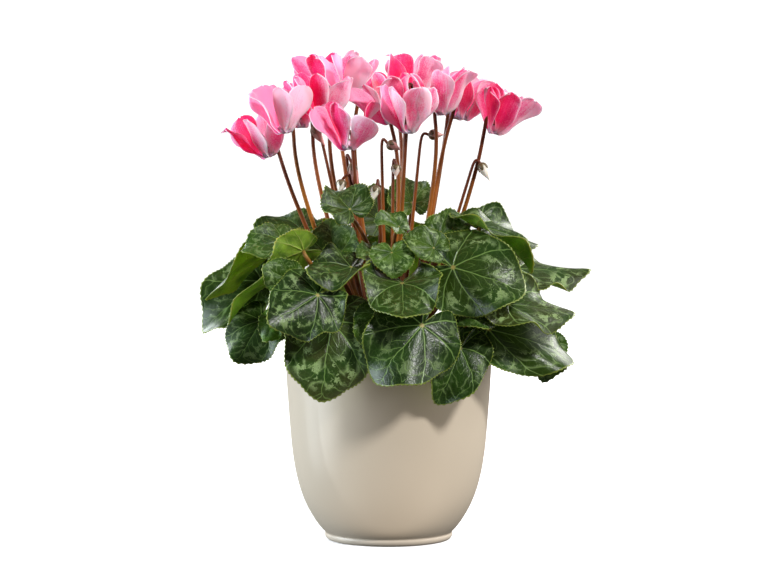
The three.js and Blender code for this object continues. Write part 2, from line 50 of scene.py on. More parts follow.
POT_OUTSIDE = [
    (40.7, 0), (42.6, 0.3), (43.8, 1.8), (44.2, 3.6), (43.7, 4.7), (44.1, 5.6), (45.8, 7.0), (50.1, 12.3),
    (54.8, 20), (59.4, 29.5), (63.4, 42.5), (66.5, 60), (68.4, 82.9), (70.2, 108), (71, 125),
    (70.8, 127.4), (70.0, 128),
]
POT_INSIDE = [
    (67.4, 127.6), (66.4, 125.4), (64.9, 108), (62.6, 66), (56.6, 36), (50, 22), (41, 10), (36, 8), (0, 8),
]
POT_STEPS = 64
FOOT_TOP = 4.7


def recipe(name):
    """A new finish: its material, and its one surface shader."""
    material = bpy.data.materials.new(name)
    material.use_nodes = True
    return material, material.node_tree.nodes["Principled BSDF"]


def put(material, socket, value):
    """Links a socket to another, or sets it."""
    if isinstance(value, bpy.types.NodeSocket):
        material.node_tree.links.new(value, socket)
    else:
        socket.default_value = value


def calc(material, operation, *values):
    """A sum on numbers or sockets."""
    sum_node = material.node_tree.nodes.new("ShaderNodeMath")
    sum_node.operation = operation
    for socket, value in zip(sum_node.inputs, values):
        put(material, socket, value)
    return sum_node.outputs[0]


def step(material, value, low, high):
    """0 where value is below low, 1 where it is above high, and a smooth rise between them."""
    rise = material.node_tree.nodes.new("ShaderNodeMapRange")
    rise.interpolation_type = "SMOOTHSTEP"
    put(material, rise.inputs["Value"], value)
    rise.inputs["From Min"].default_value = low
    rise.inputs["From Max"].default_value = high
    return rise.outputs["Result"]


def fade(material, value, low, high):
    """1 where value is below low, 0 where it is above high, and a smooth fall between them."""
    return calc(material, "SUBTRACT", 1.0, step(material, value, low, high))


def tinge(material, share, colour, other):
    """A colour that goes over to another one by share."""
    mix = material.node_tree.nodes.new("ShaderNodeMix")
    mix.data_type = "RGBA"
    put(material, mix.inputs[0], share)
    put(material, mix.inputs[6], colour)
    put(material, mix.inputs[7], other)
    return mix.outputs[2]


def mottle(material, place, scale, detail=2.0):
    """A cloudy pattern between 0 and 1, finer with a greater scale and more ragged with more detail."""
    cloud = material.node_tree.nodes.new("ShaderNodeTexNoise")
    put(material, cloud.inputs["Vector"], place)
    cloud.inputs["Scale"].default_value = scale
    cloud.inputs["Detail"].default_value = detail
    return cloud.outputs["Fac"]


def dress(material, shader, colour, roughness, specular=0.5):
    """Gives a finish its colour, roughness and specular level."""
    put(material, shader.inputs["Base Color"], colour)
    put(material, shader.inputs["Roughness"], roughness)
    shader.inputs["Specular IOR Level"].default_value = specular


def relief(material, shader, height, strength, depth):
    """Small relief by bump, up to depth metres high."""
    bump = material.node_tree.nodes.new("ShaderNodeBump")
    bump.inputs["Strength"].default_value = strength
    bump.inputs["Distance"].default_value = depth
    put(material, bump.inputs["Height"], height)
    put(material, shader.inputs["Normal"], bump.outputs["Normal"])


def object_place(material):
    return material.node_tree.nodes.new("ShaderNodeTexCoord").outputs["Object"]


def split(material, vector):
    """The three parts of a vector."""
    parts = material.node_tree.nodes.new("ShaderNodeSeparateXYZ")
    put(material, parts.inputs[0], vector)
    return parts.outputs


def shown(name, bm, finishes):
    """The object of a finished bmesh, smooth all over."""
    mesh = bpy.data.meshes.new(name)
    bm.to_mesh(mesh)
    bm.free()
    mesh.polygons.foreach_set("use_smooth", [True] * len(mesh.polygons))
    for finish in finishes:
        mesh.materials.append(finish)
    thing = bpy.data.objects.new(name, mesh)
    bpy.context.scene.collection.objects.link(thing)
    return thing


def new_piece(name, bm, finishes, slot, *nodes):
    """A piece of the plant, made of a finished bmesh, which takes the place of these CAD nodes."""
    piece = shown(name, bm, finishes)
    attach(piece, "root")
    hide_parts(*nodes)
    return piece


def turned(profile, steps):
    """A profile of radius and height, in millimetres, spun about the vertical axis into a closed body."""
    bm = bmesh.new()
    corners = [bm.verts.new((radius * MM, 0, height * MM)) for radius, height in profile]
    edges = [bm.edges.new(pair) for pair in zip(corners, corners[1:])]
    bmesh.ops.spin(
        bm, geom=corners + edges, cent=(0, 0, 0), axis=(0, 0, 1), angle=2 * math.pi, steps=steps,
        use_merge=True
    )
    bmesh.ops.remove_doubles(bm, verts=bm.verts, dist=0.01 * MM)
    bmesh.ops.recalc_face_normals(bm, faces=bm.faces)
    return bm


glaze, glaze_shader = recipe("satin_beige_glaze")
glaze_place = object_place(glaze)
glaze_cloud = mottle(glaze, glaze_place, 14)
glaze_body = tinge(glaze, glaze_cloud, (0.445, 0.382, 0.302, 1), (0.485, 0.418, 0.332, 1))
glaze_height = split(glaze, glaze_place)["Z"]
bare_foot = fade(glaze, glaze_height, (FOOT_TOP - 0.7) * MM, (FOOT_TOP + 0.3) * MM)
glaze_body = tinge(glaze, bare_foot, glaze_body, (0.52, 0.45, 0.365, 1))
glaze_grain = mottle(glaze, glaze_place, 900, 3)
dress(glaze, glaze_shader, glaze_body, calc(glaze, "MULTIPLY_ADD", glaze_grain, 0.08, 0.36), 0.32)
relief(glaze, glaze_shader, glaze_grain, 0.12, 0.0002)
glaze_shader.inputs["Coat Weight"].default_value = 0.06
glaze_shader.inputs["Coat Roughness"].default_value = 0.3

pot_mesh = turned([(0, 0)] + POT_OUTSIDE + POT_INSIDE, POT_STEPS)
pot = new_piece("glazed_pot", pot_mesh, [glaze], "pot_glaze", "pot")
rounding = pot.modifiers.new("rounding", "SUBSURF")
rounding.levels = 2
rounding.render_levels = 2

# The soil: peat and fine bark that fill the pot to 17 mm below its rim, heaped a little round the
# tuber. Its crumbs are loose grains pressed into the top.
SOIL_SIDE = [(0, 8.3), (34, 8.3), (44, 17.5), (53, 30), (58.2, 42.5), (61.2, 60), (63.1, 84), (64.0, 105)]
SOIL_TOP = 111
SOIL_CROWN = 113
SOIL_RADIUS = 64.2
SOIL_RINGS = 26
SOIL_STEPS = 110
CRUMBS = 620
CRUMB_REACH = 62
soil_draw = random.Random(3)


def soil_height(share):
    """How high the soil's top is at a share of the way in from its edge."""
    return SOIL_TOP + (SOIL_CROWN - SOIL_TOP) * min(1, 1.5 * share)


soil_top = []
for ring in range(SOIL_RINGS + 1):
    ring_share = ring / SOIL_RINGS
    soil_top.append((SOIL_RADIUS * (1 - ring_share), soil_height(ring_share)))
soil = turned(SOIL_SIDE + soil_top, SOIL_STEPS)
for corner in soil.verts:
    if corner.co.z > (SOIL_TOP - 1) * MM:
        inside = min(1, (SOIL_RADIUS * MM - corner.co.xy.length) / (4 * MM))
        corner.co.z += inside * soil_draw.uniform(-1.3, 0.8) * MM
for crumb in range(CRUMBS):
    crumb_bearing = soil_draw.uniform(0, 2 * math.pi)
    crumb_reach = CRUMB_REACH * math.sqrt(soil_draw.uniform(0.12, 1))
    crumb_size = soil_draw.uniform(0.7, 2.3)
    grain = bmesh.ops.create_icosphere(soil, subdivisions=1, radius=crumb_size * MM)["verts"]
    crumb_swing = soil_draw.uniform(0, 6)
    crumb_turn = Matrix.Rotation(crumb_swing, 3, Vector((soil_draw.random(), soil_draw.random(), 1)))
    for corner in grain:
        corner.co *= soil_draw.uniform(0.75, 1.15)
        corner.co = crumb_turn @ corner.co
    crumb_place = Vector((
        crumb_reach * math.cos(crumb_bearing), crumb_reach * math.sin(crumb_bearing),
        soil_height(1 - crumb_reach / SOIL_RADIUS)
    ))
    bmesh.ops.translate(soil, verts=grain, vec=crumb_place * MM)

peat, peat_shader = recipe("dark_peat")
peat_place = object_place(peat)
peat_cloud = mottle(peat, peat_place, 260, 5)
peat_brown = tinge(peat, peat_cloud, (0.012, 0.008, 0.005, 1), (0.085, 0.052, 0.03, 1))
dress(peat, peat_shader, peat_brown, 0.95)
relief(peat, peat_shader, mottle(peat, peat_place, 900, 4), 0.7, 0.001)
new_piece("peat_soil", soil, [peat], "soil", "soil")

# The tuber: a flattened corky ball, sunk by two thirds in the soil, out of whose top every leaf and
# flower grows. Its skin is brown and rough, with the scars of old leaf stems.
TUBER_RADIUS = 23
TUBER_TOP = 121
TUBER_FOOT = 92
TUBER_MIDDLE = (TUBER_TOP + TUBER_FOOT) / 2
KNOBS = 40
KNOB_BREADTH = 0.16
tuber_draw = random.Random(8)


def hill(distance, breadth):
    """A smooth round hill, 1 high, seen at a distance from its middle."""
    return math.exp(-((distance / breadth) ** 2))


knobs = []
for _ in range(KNOBS):
    knob = Vector([tuber_draw.gauss(0, 1) for _ in "xyz"]).normalized()
    knobs.append((knob, tuber_draw.uniform(0.3, 1)))
tuber = bmesh.new()
bmesh.ops.create_icosphere(tuber, subdivisions=5, radius=1.0)
for corner in tuber.verts:
    swell = sum(size * hill((corner.co - knob).length, KNOB_BREADTH) for knob, size in knobs)
    fullness = 0.97 + 0.03 * min(1, swell)
    reach = TUBER_RADIUS * fullness
    half = (TUBER_TOP - TUBER_FOOT) / 2 * fullness
    corner.co = Vector((corner.co.x * reach, corner.co.y * reach, TUBER_MIDDLE + corner.co.z * half)) * MM

cork, cork_shader = recipe("corky_tuber")
cork_place = object_place(cork)
cork_cloud = mottle(cork, cork_place, 190, 5)
cork_brown = tinge(cork, cork_cloud, (0.045, 0.022, 0.012, 1), (0.19, 0.10, 0.055, 1))
dress(cork, cork_shader, cork_brown, 0.85)
relief(cork, cork_shader, mottle(cork, cork_place, 500, 4), 0.8, 0.0012)
new_piece("tuber", tuber, [cork], "stem", "crown")

# The leaf stems: one to each blade, smooth and juicy, reddish brown and paler at the blade's end. They
# grow out of the tuber, arch over the rim and meet the blade from below at the foot of its notch.

# Each leaf: where its stem meets it, its tip and the way that it faces, then its width, how many degrees
# it bends along its length and folds along its middle, and how deep it waves.
LEAVES = [
    ((-38, -72, 156), (-45, -86, 105), (-0.15, -1, 0.2), 66, 22, -8, 2.5),
    ((22, -87, 155), (-9, -101, 119), (0, -1, 0.3), 62, 25, -10, 3.4),
    ((48, -66, 138), (33, -80, 102), (0.3, -1, 0.2), 42, 20, 22, 2.7),
    ((43, -66, 192), (91, -77, 177), (-0.05, -1, 0.35), 60, 28, -8, 3.4),
    ((-47, -86, 175), (-77, -95, 155), (-0.2, -1, 0.3), 52, 25, -10, 2),
    ((9, -79, 180), (10, -108, 156), (0, -1, 0.8), 52, 40, 14, 3.4),
    ((67, -48, 149), (127, -26, 128), (0.1, -1, 0.45), 54, 25, -8, 4),
    ((80, -60, 167), (121, -38, 157), (0.1, -0.7, 0.75), 46, 25, 6, 2.7),
    ((88, -24, 188), (130, 5, 178), (0.1, -0.6, 0.8), 46, 25, -8, 3.4),
    ((-7, -76, 165), (-13, -85, 142), (-0.1, -1, 0.3), 31, 20, -8, 1.5),
    ((-25, -64, 190), (-52, -86, 181), (0.1, -0.45, 1), 40, 20, 14, 2.7),
    ((-36, -42, 198), (-40, -31, 225), (0.05, -1, 0.5), 36, -20, 12, 1.4),
    ((-26, -67, 231), (-40, -58, 244), (0, -0.5, 0.9), 38, 18, 10, 2),
    ((-57, -62, 203), (-80, -66, 193), (0.1, 0.8, 0.6), 34, 15, 10, 1.4),
    ((-86, -40, 154), (-101, -48, 126), (-0.4, -1, 0.25), 46, 20, -8, 2),
    ((-87, 5, 177), (-128, 0, 144), (-0.5, -0.8, 0.35), 56, 20, 10, 2.7),
    ((-74, -14, 200), (-118, -16, 164), (-0.5, 0.35, 0.7), 46, 30, 10, 2.7),
    ((-61, 4, 214), (-91, 14, 211), (0, -0.5, 0.85), 34, 25, 10, 2),
    ((-79, -40, 181), (-110, -42, 154), (-0.6, 0.25, 0.75), 36, 15, 10, 1.4),
    ((-72, -38, 208), (-98, -46, 200), (-0.2, -0.7, 0.7), 32, 20, 12, 1.4),
    ((-66, -72, 186), (-84, -76, 195), (-0.1, -1, 0.2), 26, 15, 8, 1.4),
    ((-76, -60, 157), (-82, -66, 141), (-0.3, -0.9, 0.3), 20, 10, 8, 1.4),
    ((62, -40, 218), (98, -50, 189), (0.6, -0.15, 0.75), 42, 25, 14, 2),
    ((64, -12, 214), (94, 12, 200), (0.1, -0.6, 0.8), 40, 20, 10, 2),
    ((30, -66, 205), (10, -62, 214), (0, -0.9, 0.6), 24, 18, 10, 1.4),
    ((7, -60, 219), (-9, -60, 225), (-0.1, -0.4, 0.9), 22, 20, 10, 1.4),
    ((35, -44, 212), (54, -38, 222), (0, -0.8, 0.6), 30, 20, 10, 1.4),
    ((16, 32, 230), (11, 48, 246), (0, -0.8, 0.6), 32, 15, 10, 1.4),
    ((-6, 31, 218), (-12, 46, 239), (0, -0.8, 0.6), 34, 15, 10, 1.4),
    ((2, -68, 200), (4, -76, 184), (0.1, -0.8, 0.6), 30, 20, 12, 1.4),
    ((52, -58, 172), (60, -76, 150), (0.1, -0.9, 0.5), 40, 20, -8, 2),
    ((-7, -52, 206), (-18, -58, 202), (-0.1, -0.7, 0.8), 26, 20, 10, 1.4),
    ((107, -20, 136), (107, -25, 110), (0.3, -0.8, 0.3), 30, 20, 8, 1.4),
]
# Two rings of leaves behind: how many, the first bearing and the step to the next, how far out and how
# high they meet their stems and end, and their width.
BACK_RINGS = [(5, 22, 34, 78, 163, 108, 122, 60), (4, 42, 33, 54, 201, 88, 164, 54)]
OUTLINE_SPAN = 1.2
SHIFT_STEP = 2
ROOT_DEPTH = 5
FRAME_STEM_RADIUS = 1.5
PETIOLE_RADIUS = 1.75
PETIOLE_TAPER = 0.45
PETIOLE_STEPS = 22
STEM_SIDES = 10
NECK_LENGTH = 3
NECK_SWEEP = 9
BLADE_GAP = 0.95
BOWS = [(0, 0.45), (0, 0.8), (9, 0.45), (-9, 0.45), (9, 0.8), (-9, 0.8), (18, 0.6), (-18, 0.6)]

for count, bearing, between, reach, height, tip_reach, tip_height, width in BACK_RINGS:
    for index in range(count):
        angle = math.radians(bearing + index * between)
        outward = Vector((math.cos(angle), math.sin(angle), 0))
        at = outward * reach + Vector((0, 0, height + 5 * (index % 2)))
        tip = outward * tip_reach + Vector((0, 0, tip_height + 6 * (index % 2)))
        face = outward + Vector((0, 0, 1.6 if tip_reach - reach > 40 else 0.5))
        LEAVES.append((at, tip, face, width - 5 * (index % 3), 24, 8 if index % 2 else -8, 2.5))


def heart(angle):
    """How far the blade's outline is from the stem's end, beside the blade's length."""
    notch = 1 - 0.85 * hill(math.pi - abs(angle), 0.22)
    return (0.6 + 0.12 * math.cos(angle) + 0.28 * hill(angle, 0.45)) * notch


def blade_axes(leaf, shift):
    """Where stem and blade meet, the directions along, out of and across it, its bend and its length."""
    at, tip, face, _, bend, _, _ = leaf
    bend = math.radians(bend)
    along = Vector(tip) - Vector(at)
    chord = along.length
    along.normalize()
    up = Vector(face)
    up = (up - along * up.dot(along)).normalized()
    return Vector(at) + shift, along, up, up.cross(along), bend, chord * (bend / 2) / math.sin(bend / 2)


def blade_point(leaf, axes, angle, share, reach, raised=0.0):
    """A point of the blade's middle surface, share of the way to its outline, raised by fine relief."""
    at, along, up, across, bend, length = axes
    _, _, _, width, _, fold, wave = leaf
    run = share * reach * length * math.cos(angle)
    aside = share * reach * math.sin(angle) * width / OUTLINE_SPAN
    heading = bend / 2 - bend * run / length
    lift = math.tan(math.radians(fold)) * (math.hypot(aside, 2) - 2)
    lift += wave * share * (share * reach / 0.6) ** 2 * math.sin(5 * angle + width)
    lift += raised
    ahead = (length / bend) * (math.sin(bend / 2) - math.sin(heading)) - lift * math.sin(heading)
    above = (length / bend) * (math.cos(heading) - math.cos(bend / 2)) + lift * math.cos(heading)
    return at + along * ahead + up * above + across * aside


def moved_aside(node, points):
    """How far a node of the frame stands from these points of its plain form, in whole steps."""
    low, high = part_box(node)
    middle = [(max(p[axis] for p in points) + min(p[axis] for p in points)) / 2 for axis in range(3)]
    away = (low + high) / (2 * MM) - Vector(middle)
    return Vector([round(part / SHIFT_STEP) * SHIFT_STEP for part in away])


def root_point(x, y):
    """Where a stem starts inside the tuber."""
    share = math.hypot(x, y) / TUBER_RADIUS
    surface = TUBER_MIDDLE + (TUBER_TOP - TUBER_MIDDLE) * math.sqrt(1 - share * share)
    return Vector((x, y, surface - ROOT_DEPTH))


def bezier(one, two, three, four, t):
    """A point of the smooth curve from one to four that two and three lead, at t between 0 and 1."""
    s = 1 - t
    return one * s**3 + two * (3 * s * s * t) + three * (3 * s * t * t) + four * t**3


def petiole_route(leaf, axes, bow, steps):
    """The middle line of a leaf stem, from the tuber to the underside of the blade."""
    at, along, up, _, bend, _ = axes
    bearing = math.atan2(at.y, at.x)
    root_reach = TUBER_RADIUS * (0.5 + 0.3 * abs(math.sin(leaf[3] + leaf[4])))
    root = root_point(root_reach * math.cos(bearing), root_reach * math.sin(bearing))
    below = along * math.sin(bend / 2) - up * math.cos(bend / 2)
    end = at + below * BLADE_GAP
    neck = end + below * NECK_LENGTH
    side = Vector((-math.sin(bearing), math.cos(bearing), 0)) * bow[0]
    start = root + side + Vector((0.12 * at.x, 0.12 * at.y, max((at.z - root.z) * bow[1], 14)))
    reach = neck + below * NECK_SWEEP + side * 0.6
    return [bezier(root, start, reach, neck, t) for t in steps] + [end]


crown_corners = np.array([corner.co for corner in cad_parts["crown"].data.vertices]) / MM


def true_bow(leaf, axes):
    """The way round that this leaf's stem takes in the frame: its ring of corners is found there."""
    def ring_found(bow):
        middle = petiole_route(leaf, axes, bow, [0.45])[0]
        away = np.linalg.norm(crown_corners - np.array(middle), axis=1)
        return int(np.sum(np.abs(away - FRAME_STEM_RADIUS) < 0.01))
    return max(BOWS, key=ring_found)


def bent_grid(bm, columns, rows, place):
    """A flat grid bent to shape: place(x, y), both from 0 to 1, gives a corner's point, mark and tint."""
    mark = bm.verts.layers.float_vector.get("mark") or bm.verts.layers.float_vector.new("mark")
    tint = bm.verts.layers.float_vector.get("tint") or bm.verts.layers.float_vector.new("tint")
    made = bmesh.ops.create_grid(bm, x_segments=columns, y_segments=rows, size=0.5)["verts"]
    for corner in made:
        point, corner[mark], corner[tint] = place(corner.co.x + 0.5, corner.co.y + 0.5)
        corner.co = point * MM
    bmesh.ops.remove_doubles(bm, verts=made, dist=0.002 * MM)


def rings_on(route):
    """At each point of a route, two directions square to it that don't twist on the way."""
    rings = []
    first = None
    for index, point in enumerate(route):
        ahead = (route[min(index + 1, len(route) - 1)] - route[max(index - 1, 0)]).normalized()
        if first is None:
            first = ahead.orthogonal().normalized()
        first = (first - ahead * first.dot(ahead)).normalized()
        rings.append((point, first, ahead.cross(first)))
    return rings


def swung(one, other, swing):
    """The direction one, swung by an angle towards other."""
    return one * math.cos(swing) + other * math.sin(swing)


def grow_stem(bm, route, radius, taper, tint):
    """A round stem along a route, from radius at its foot to taper less at its end, closed at both."""
    rings = rings_on(route)
    rings = [rings[0]] + rings + [rings[-1]]
    last = len(rings) - 1

    def place(x, y):
        index = round(y * last)
        share = (index - 1) / (last - 2)
        middle, one, other = rings[index]
        out = swung(one, other, 2 * math.pi * x) * (radius - taper * share)
        return middle if index in (0, last) else middle + out, Vector((share, x, 0)), tint

    bent_grid(bm, STEM_SIDES, last, place)


leaf_axes = []
leaf_draw = random.Random(21)
leaf_stems = bmesh.new()
for number, leaf in enumerate(LEAVES, 1):
    plain = blade_axes(leaf, Vector())
    around = [math.pi * i / 11 for i in range(-11, 11)]
    form = [blade_point(leaf, plain, angle, 1, heart(angle)) for angle in around] + [plain[0]]
    axes = blade_axes(leaf, moved_aside(f"leaf_{number:02d}", form))
    leaf_axes.append(axes)
    steps = [i / PETIOLE_STEPS for i in range(PETIOLE_STEPS + 1)]
    route = petiole_route(leaf, axes, true_bow(leaf, axes), steps)
    stem_tint = Vector((leaf_draw.random(), 0, leaf_draw.random()))
    grow_stem(leaf_stems, route, PETIOLE_RADIUS, PETIOLE_TAPER, stem_tint)


def grown_marks(material):
    """The mark and the tint that bent_grid leaves on each corner, both split into their parts."""
    found = []
    for layer in ("mark", "tint"):
        attribute = material.node_tree.nodes.new("ShaderNodeAttribute")
        attribute.attribute_name = layer
        found.append(split(material, attribute.outputs["Vector"]))
    return found


def coats(material, colour, *layers):
    """A colour with others over it, each of them given as its share and itself."""
    for share, other in layers:
        colour = tinge(material, share, colour, other)
    return colour


petiole, petiole_shader = recipe("leaf_stem_skin")
petiole_mark, petiole_tint = grown_marks(petiole)
petiole_cloud = step(petiole, mottle(petiole, object_place(petiole), 160, 3), 0.35, 0.8)
petiole_red = tinge(petiole, petiole_tint["X"], (0.11, 0.034, 0.011, 1), (0.22, 0.080, 0.016, 1))
petiole_end = step(petiole, petiole_mark["X"], 0.75, 1.0)
petiole_skin = coats(
    petiole, petiole_red, (petiole_end, (0.28, 0.17, 0.04, 1)), (petiole_cloud, (0.12, 0.035, 0.016, 1))
)
dress(petiole, petiole_shader, petiole_skin, 0.4, 0.2)
new_piece("leaf_stems", leaf_stems, [petiole], "stem", "crown")

# The blades: heart-shaped, a little fleshy, finely toothed all round, dark green with silvery marbling
# between the veins above, and plain yellow-green below. Each hangs from its stem at the notch.
BLADE_THICKNESS = 0.55
OUTLINE_LENGTH = 2.9
TOOTH_PITCH = 1.9
TOOTH_DEPTH = 0.45
MAIN_VEINS = 7
VEIN_ARCH = 0.5
BLADE_RINGS = 17
SHOULDER = 0.09
PUFF = 1.6
FURROW = 0.32
ROLL_START = 0.45
# Where a blade's margin rolls up: the roll's bearing from the tip, how far round it goes, its breadth.
ROLLED_MARGINS = {
    2: [], 3: [(-1.5, 1.9, 0.6)], 4: [(-2.4, 1.2, 0.35)], 5: [(2.3, 1.3, 0.4)],
    6: [(2.1, 2.3, 0.45), (-1.9, 1.2, 0.4)], 7: [(-1.6, 1.0, 0.4)], 8: [(1.2, 0.9, 0.4)],
    9: [(-0.9, 1.1, 0.3)], 11: [(1.8, 2.0, 0.5)], 12: [(1.7, 1.3, 0.5), (-1.7, 1.1, 0.5)],
    13: [(-1.4, 1.0, 0.5)], 16: [(1.6, 1.2, 0.5)], 20: [(1.4, 1.3, 0.5)], 24: [(1.2, 1.0, 0.5)],
    25: [(-1.8, 0.9, 0.5)], 26: [(-1.6, 1.6, 0.5)], 27: [(1.5, 1.2, 0.5)],
}
blade_draw = random.Random(5)


def off_vein(angle, radius):
    """How far a place is from the nearest main vein, from 0 on it to 0.5 midway to the next."""
    turn = (angle + VEIN_ARCH * radius * math.sin(angle)) * MAIN_VEINS / (2 * math.pi)
    return abs(turn - round(turn))


def swells(angle, places, share=1.0):
    """What a margin's swells, each a bearing, a size and a breadth, come to at an angle, times share."""
    return sum(size * share * hill(angle - turn, breadth) for turn, size, breadth in places)


def blade_mesh(number, leaf, axes):
    """A blade's thin middle surface, puffed between its veins, with a toothed, rippled, rolled margin."""
    width = leaf[3]
    length = axes[5]
    teeth = 2 * round(OUTLINE_LENGTH * width / TOOTH_PITCH / 2)
    tone = blade_draw.random()
    young = min(1, max(0, (40 - width) / 26 + blade_draw.uniform(-0.15, 0.25)))
    seed = blade_draw.random()
    lobing = blade_draw.uniform(0.06, 0.14)
    ripples = [
        (count, blade_draw.uniform(0, 6.3), depth * blade_draw.uniform(0.3, 0.9))
        for count, depth in ((2, 2.2), (5, 1.5), (7, 1.0), (9, 1.0))
    ]
    curls = [
        (blade_draw.uniform(-2.6, 2.6), blade_draw.uniform(-1.5, 4.0), blade_draw.uniform(0.2, 0.5))
        for _ in range(2)
    ]
    spare = (blade_draw.uniform(-2.4, 2.4), blade_draw.uniform(0.2, 1.0), blade_draw.uniform(0.3, 0.6))
    rolls = ROLLED_MARGINS.get(number, [spare])

    def place(x, y):
        angle = math.pi - 2 * math.pi * x
        share = 1 - (1 - y) ** 1.35
        reach = heart(angle)
        radius = share * reach
        trim = 1 + lobing * (0.2 - off_vein(angle, reach)) * share**4
        trim += SHOULDER * hill(abs(angle) - 0.62, 0.3)
        if y > 0.999:
            trim += (1 if round(x * 2 * teeth) % 2 else -1) * TOOTH_DEPTH / (reach * length)
        ripple = sum(size * math.sin(count * angle + start) for count, start, size in ripples)
        ripple += swells(angle, curls, share)
        gap = off_vein(angle, radius)
        valley = gap * 2 * math.pi / MAIN_VEINS * radius
        puff = PUFF * radius * min(1, 2.6 * gap) * (1 - share**4)
        furrow = FURROW * hill(valley, 0.02) * (1 - share**3) * min(1, radius / 0.1)
        raised = ripple * share**3 * width / 50 + puff - furrow
        roll = swells(angle, rolls)
        rolled = share
        if share > ROLL_START and roll > 0.01:
            beyond = share - ROLL_START
            swing = roll * beyond / (1 - ROLL_START)
            rolled = ROLL_START + beyond * math.sin(swing) / swing
            raised += beyond * (1 - math.cos(swing)) / swing * reach * width / OUTLINE_SPAN
        point = blade_point(leaf, axes, angle, rolled, reach * trim, raised)
        mark = Vector((radius * math.cos(angle), radius * math.sin(angle), share))
        return point, mark, Vector((tone, young, seed))

    bm = bmesh.new()
    bent_grid(bm, 2 * teeth, BLADE_RINGS, place)
    return bm


def times(material, value, other):
    """One number or socket times another."""
    return calc(material, "MULTIPLY", value, other)


def joined(material, *parts):
    """A vector from its three parts."""
    vector = material.node_tree.nodes.new("ShaderNodeCombineXYZ")
    for socket, part in zip(vector.inputs, parts):
        put(material, socket, part)
    return vector.outputs[0]


def off_whole(material, value):
    """How far a number is from the nearest whole one."""
    return calc(material, "ABSOLUTE", calc(material, "SUBTRACT", value, calc(material, "ROUND", value)))


def soak(shader, weight, colours, depth):
    """Lets light into a leaf or petal, up to depth metres for a colour whose share is 1."""
    shader.inputs["Subsurface Weight"].default_value = weight
    shader.inputs["Subsurface Radius"].default_value = colours
    shader.inputs["Subsurface Scale"].default_value = depth


def vein_paint(material):
    """The masks of a blade's finish, from its flat place: veins, gaps between them, margin and tints."""
    (x, y, share), (tone, young, seed) = grown_marks(material)
    flat = joined(material, x, y, times(material, seed, 30.0))
    squares = [calc(material, "POWER", part, 2.0) for part in (x, y)]
    radius = calc(material, "SQRT", calc(material, "ADD", *squares))
    wobble = times(material, calc(material, "SUBTRACT", mottle(material, flat, 3.5), 0.5), 0.5)
    turn = calc(material, "ADD", calc(material, "ARCTAN2", y, x), times(material, y, VEIN_ARCH))
    turn = calc(material, "ADD", turn, times(material, wobble, radius))
    beside = off_whole(material, times(material, turn, MAIN_VEINS / (2 * math.pi)))
    main_gap = times(material, times(material, beside, radius), 2 * math.pi / MAIN_VEINS)
    main = fade(material, calc(material, "MULTIPLY_ADD", radius, 0.006, main_gap), 0.004, 0.015)
    climb = calc(material, "SUBTRACT", times(material, radius, 6.0), times(material, beside, 2.8))
    climb = calc(material, "MULTIPLY_ADD", mottle(material, flat, 6), 1.2, climb)
    side_gap = off_whole(material, climb)
    side = times(material, fade(material, side_gap, 0.01, 0.075), step(material, radius, 0.1, 0.22))
    net = material.node_tree.nodes.new("ShaderNodeTexVoronoi")
    net.feature = "DISTANCE_TO_EDGE"
    put(material, net.inputs["Vector"], flat)
    net.inputs["Scale"].default_value = 17
    fine = fade(material, net.outputs["Distance"], 0.0, 0.11)
    lines = calc(material, "MAXIMUM", main, times(material, side, 0.5))
    return {
        "flat": flat, "radius": radius, "share": share, "beside": beside, "side_gap": side_gap,
        "lines": lines, "fine": fine, "tone": tone, "young": young, "seed": seed
    }


upper, upper_shader = recipe("marbled_leaf")
paint = vein_paint(upper)
flat = paint["flat"]
grain = mottle(upper, flat, 60, 2)
frayed = calc(upper, "MULTIPLY_ADD", grain, 0.22, mottle(upper, flat, 7.5, 4))
band = times(upper, step(upper, paint["share"], 0.42, 0.62), fade(upper, paint["share"], 0.80, 0.96))
blotch = times(upper, band, step(upper, frayed, 0.64, 0.70))
blotch = times(upper, blotch, step(upper, paint["beside"], 0.06, 0.20))
halo = times(upper, fade(upper, paint["side_gap"], 0.03, 0.30), band)
halo = times(upper, halo, step(upper, mottle(upper, flat, 9, 2), 0.45, 0.62))
silver = calc(upper, "MAXIMUM", blotch, times(upper, halo, 0.7))
silver = times(upper, silver, calc(upper, "MULTIPLY_ADD", paint["seed"], 0.65, 0.15))
silver = times(upper, silver, calc(upper, "MULTIPLY_ADD", grain, 0.9, 0.45))
bronze = times(upper, step(upper, paint["seed"], 0.55, 0.85), 0.8)
veins = calc(upper, "MAXIMUM", paint["lines"], times(upper, paint["fine"], 0.07))
joint = fade(upper, paint["radius"], 0.01, 0.045)
margin = times(upper, step(upper, paint["share"], 0.972, 0.998), 0.75)
shaded = step(upper, mottle(upper, flat, 2.4, 2), 0.35, 0.7)
green = tinge(upper, paint["tone"], (0.004, 0.014, 0.002, 1), (0.019, 0.042, 0.002, 1))
green = coats(
    upper, green, (bronze, (0.036, 0.040, 0.010, 1)), (paint["young"], (0.070, 0.16, 0.012, 1)),
    (shaded, (0.016, 0.044, 0.005, 1)), (silver, (0.31, 0.43, 0.18, 1)),
    (times(upper, veins, 0.68), (0.21, 0.34, 0.09, 1)), (joint, (0.30, 0.24, 0.07, 1)),
    (margin, (0.23, 0.29, 0.05, 1))
)
dress(upper, upper_shader, green, calc(upper, "MULTIPLY_ADD", grain, 0.16, 0.23), 0.25)
sunk = calc(upper, "ADD", veins, times(upper, paint["fine"], 0.3))
relief(upper, upper_shader, calc(upper, "SUBTRACT", times(upper, grain, 0.6), sunk), 0.3, 0.0005)
soak(upper_shader, 0.08, (0.6, 1.0, 0.3), 0.001)

